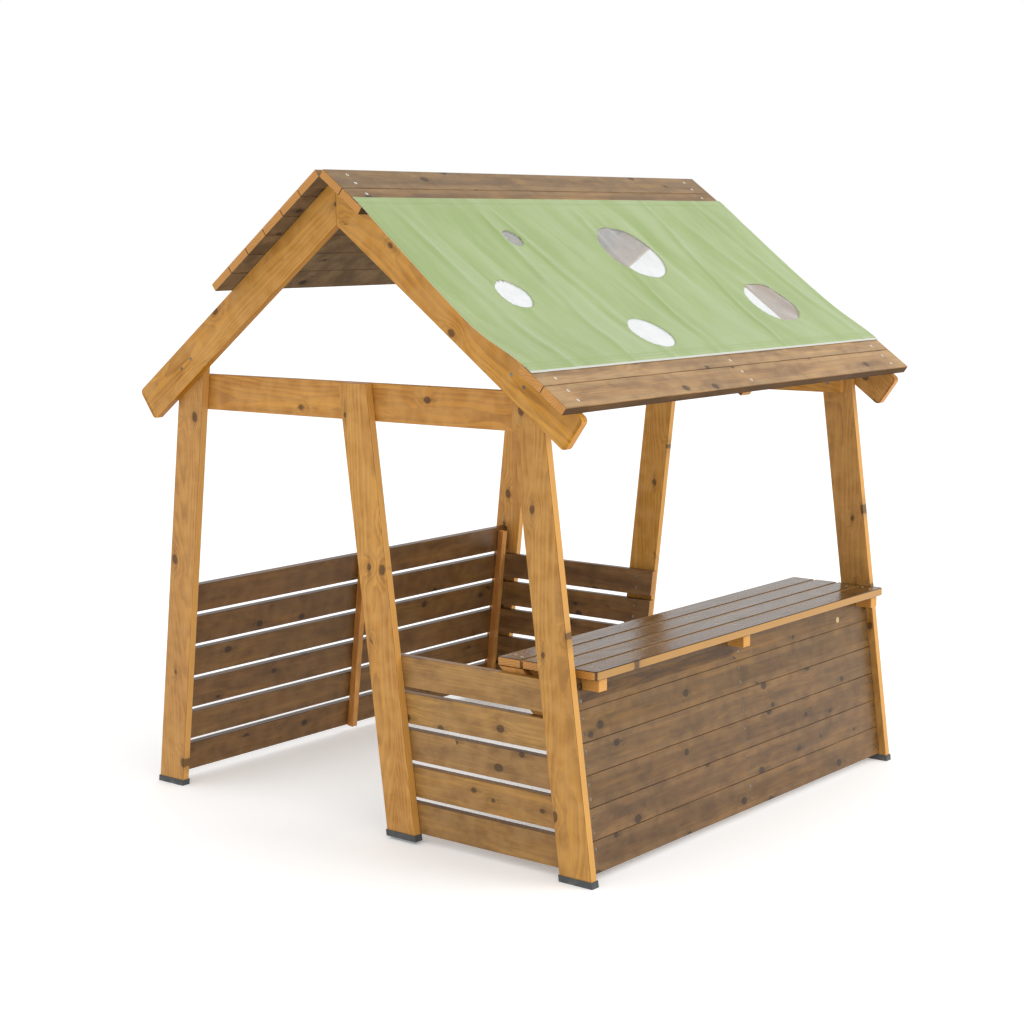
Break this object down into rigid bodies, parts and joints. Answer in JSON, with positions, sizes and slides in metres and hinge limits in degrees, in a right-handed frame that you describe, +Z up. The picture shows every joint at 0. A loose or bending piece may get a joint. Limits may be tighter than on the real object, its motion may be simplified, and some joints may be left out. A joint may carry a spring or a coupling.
{
  "type": "wooden playhouse",
  "caption": "Open wooden playhouse with leaning gable frames, slatted walls, a serving counter, two doorways and a roof of boards and fabric with round clear windows.",
  "frame": {"origin": "centre of the footprint, on the floor", "axes": "+X along the ridge from the near gable to the far gable, +Y from the counter wall to the back wall, +Z up"},
  "size_m": [1.38, 1.3254, 1.4535],
  "materials": {
    "frame_timber": "oiled softwood, satin",
    "wall_timber": "oiled softwood, satin",
    "roof_timber": "oiled softwood, satin",
    "counter_timber": "oiled softwood, semi-gloss",
    "plug_wood": "plain pale wood",
    "fabric": "woven polyester, matt",
    "film": "clear soft film",
    "foot_cap": "dark grey moulded rubber",
    "steel_screw": "zinc plated"
  },
  "bodies": {
    "root": {"back_roof_board_1": "roof_timber", "back_roof_board_2": "roof_timber", "back_roof_board_3": "roof_timber", "back_roof_board_4": "roof_timber", "back_roof_board_5": "roof_timber", "back_roof_board_6": "roof_timber", "back_wall_battens": "wall_timber", "back_wall_board_1": "wall_timber", "back_wall_board_2": "wall_timber", "back_wall_board_3": "wall_timber", "back_wall_board_4": "wall_timber", "back_wall_board_5": "wall_timber", "back_wall_board_6": "wall_timber", "counter_battens": "counter_timber", "counter_braces": "counter_timber", "counter_slat_1": "counter_timber", "counter_slat_2": "counter_timber", "counter_slat_3": "counter_timber", "counter_slat_4": "counter_timber", "eave_cleat": "roof_timber", "fabric_panel": "fabric", "far_back_post": "frame_timber", "far_back_rafter": "frame_timber", "far_front_post": "frame_timber", "far_front_rafter": "frame_timber", "far_half_wall_board_1": "wall_timber", "far_half_wall_board_2": "wall_timber", "far_half_wall_board_3": "wall_timber", "far_half_wall_board_4": "wall_timber", "far_half_wall_board_5": "wall_timber", "far_middle_post": "frame_timber", "far_tie_beam": "frame_timber", "foot_caps": "foot_cap", "front_roof_board_1": "roof_timber", "front_roof_board_2": "roof_timber", "front_roof_board_3": "roof_timber", "front_roof_board_4": "roof_timber", "front_wall_battens": "wall_timber", "front_wall_board_1": "wall_timber", "front_wall_board_2": "wall_timber", "front_wall_board_3": "wall_timber", "front_wall_board_4": "wall_timber", "front_wall_board_5": "wall_timber", "front_wall_board_6": "wall_timber", "front_wall_plug": "plug_wood", "near_back_post": "frame_timber", "near_back_rafter": "frame_timber", "near_front_post": "frame_timber", "near_front_rafter": "frame_timber", "near_half_wall_board_1": "wall_timber", "near_half_wall_board_2": "wall_timber", "near_half_wall_board_3": "wall_timber", "near_half_wall_board_4": "wall_timber", "near_half_wall_board_5": "wall_timber", "near_middle_post": "frame_timber", "near_tie_beam": "frame_timber", "screws": "steel_screw", "window_films": "film"}
  },
  "joints": []
}
